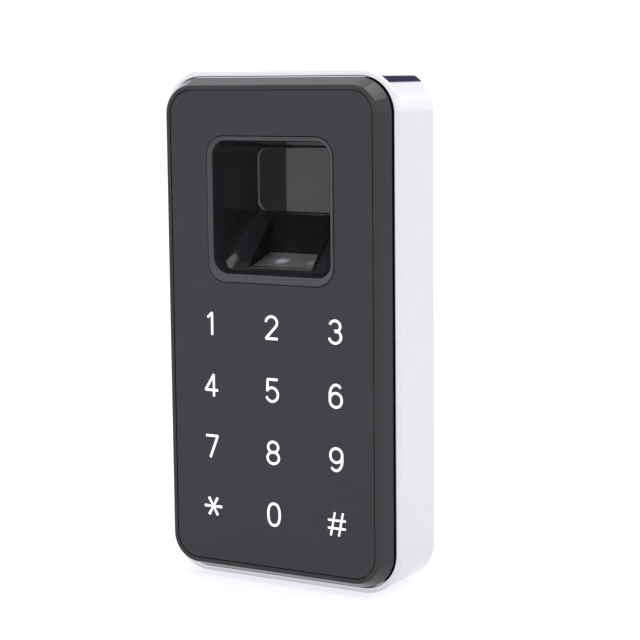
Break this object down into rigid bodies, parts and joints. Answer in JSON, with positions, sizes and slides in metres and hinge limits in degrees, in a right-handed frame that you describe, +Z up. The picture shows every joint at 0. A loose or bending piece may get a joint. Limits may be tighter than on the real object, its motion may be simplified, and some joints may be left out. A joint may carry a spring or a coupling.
{
  "type": "fingerprint scanner terminal",
  "caption": "Chromed upright terminal with a gloss black front, a touch keypad and a finger pocket with a sloping glass print sensor.",
  "frame": {"origin": "centre of the rear mounting face", "axes": "+Z up along the terminal, -Y out of the front face, +X to the right of someone who looks at the front"},
  "size_m": [0.069, 0.0237, 0.132],
  "materials": {
    "chrome": "polished",
    "bezel_black": "gloss",
    "seal_rubber": "matt",
    "panel_black": "gloss",
    "tape": "matt",
    "pocket_black": "gloss",
    "screw_steel": "plated",
    "frame_black": "satin",
    "prism_glass": "polished",
    "diffuser_white": "milky",
    "circuit_green": "solder mask",
    "led_white": "clear",
    "shade_black": "matt",
    "sensor_chip": "polished",
    "inner_black": "fine texture",
    "ribbon_amber": "gloss",
    "ribbon_white": "gloss",
    "chip_black": "matt",
    "socket_ivory": "satin",
    "can_steel": "satin",
    "ferrite": "matt",
    "can_aluminium": "satin",
    "relay_blue": "gloss",
    "button_red": "satin",
    "plate_steel": "fine powder coat",
    "grommet_rubber": "matt",
    "brass": "turned"
  },
  "bodies": {
    "terminal": {"housing": "chrome", "front_bezel": "bezel_black", "front_seal": "seal_rubber", "touch_panel": "panel_black", "panel_tape": "tape", "finger_pocket": "pocket_black", "pocket_screws": "screw_steel", "sensor_frame": "frame_black", "sensor_prism": "prism_glass", "light_diffuser": "diffuser_white", "light_board": "circuit_green", "sensor_leds": "led_white", "lens_shade": "shade_black", "lens_barrel": "shade_black", "image_sensor": "sensor_chip", "image_board": "circuit_green", "sensor_bracket": "inner_black", "sensor_screws": "screw_steel", "sensor_ribbon": "ribbon_amber", "keypad_board": "circuit_green", "key_leds": "led_white", "touch_chip": "chip_black", "keypad_ribbon": "ribbon_white", "ribbon_sockets": "socket_ivory", "main_board": "circuit_green", "processor": "chip_black", "memory_chip": "chip_black", "crystal": "can_steel", "power_chip": "chip_black", "power_coil": "ferrite", "capacitors": "can_aluminium", "lock_relay": "relay_blue", "buzzer": "chip_black", "wire_socket": "socket_ivory", "reset_switch": "chip_black", "board_screws": "screw_steel", "bezel_screws": "screw_steel", "rear_plate": "plate_steel", "rear_seal": "seal_rubber", "rear_screws": "screw_steel", "cable_grommet": "grommet_rubber", "mounting_inserts": "brass"},
    "reset_button": {"reset_button": "button_red"}
  },
  "joints": [
    {"name": "reset_press", "type": "slide", "parent": "terminal", "child": "reset_button", "axis": [0, -1, 0], "range_m": [0, 0.00025], "stiffness_N_per_m": 2000, "springref_m": -0.0005}
  ]
}
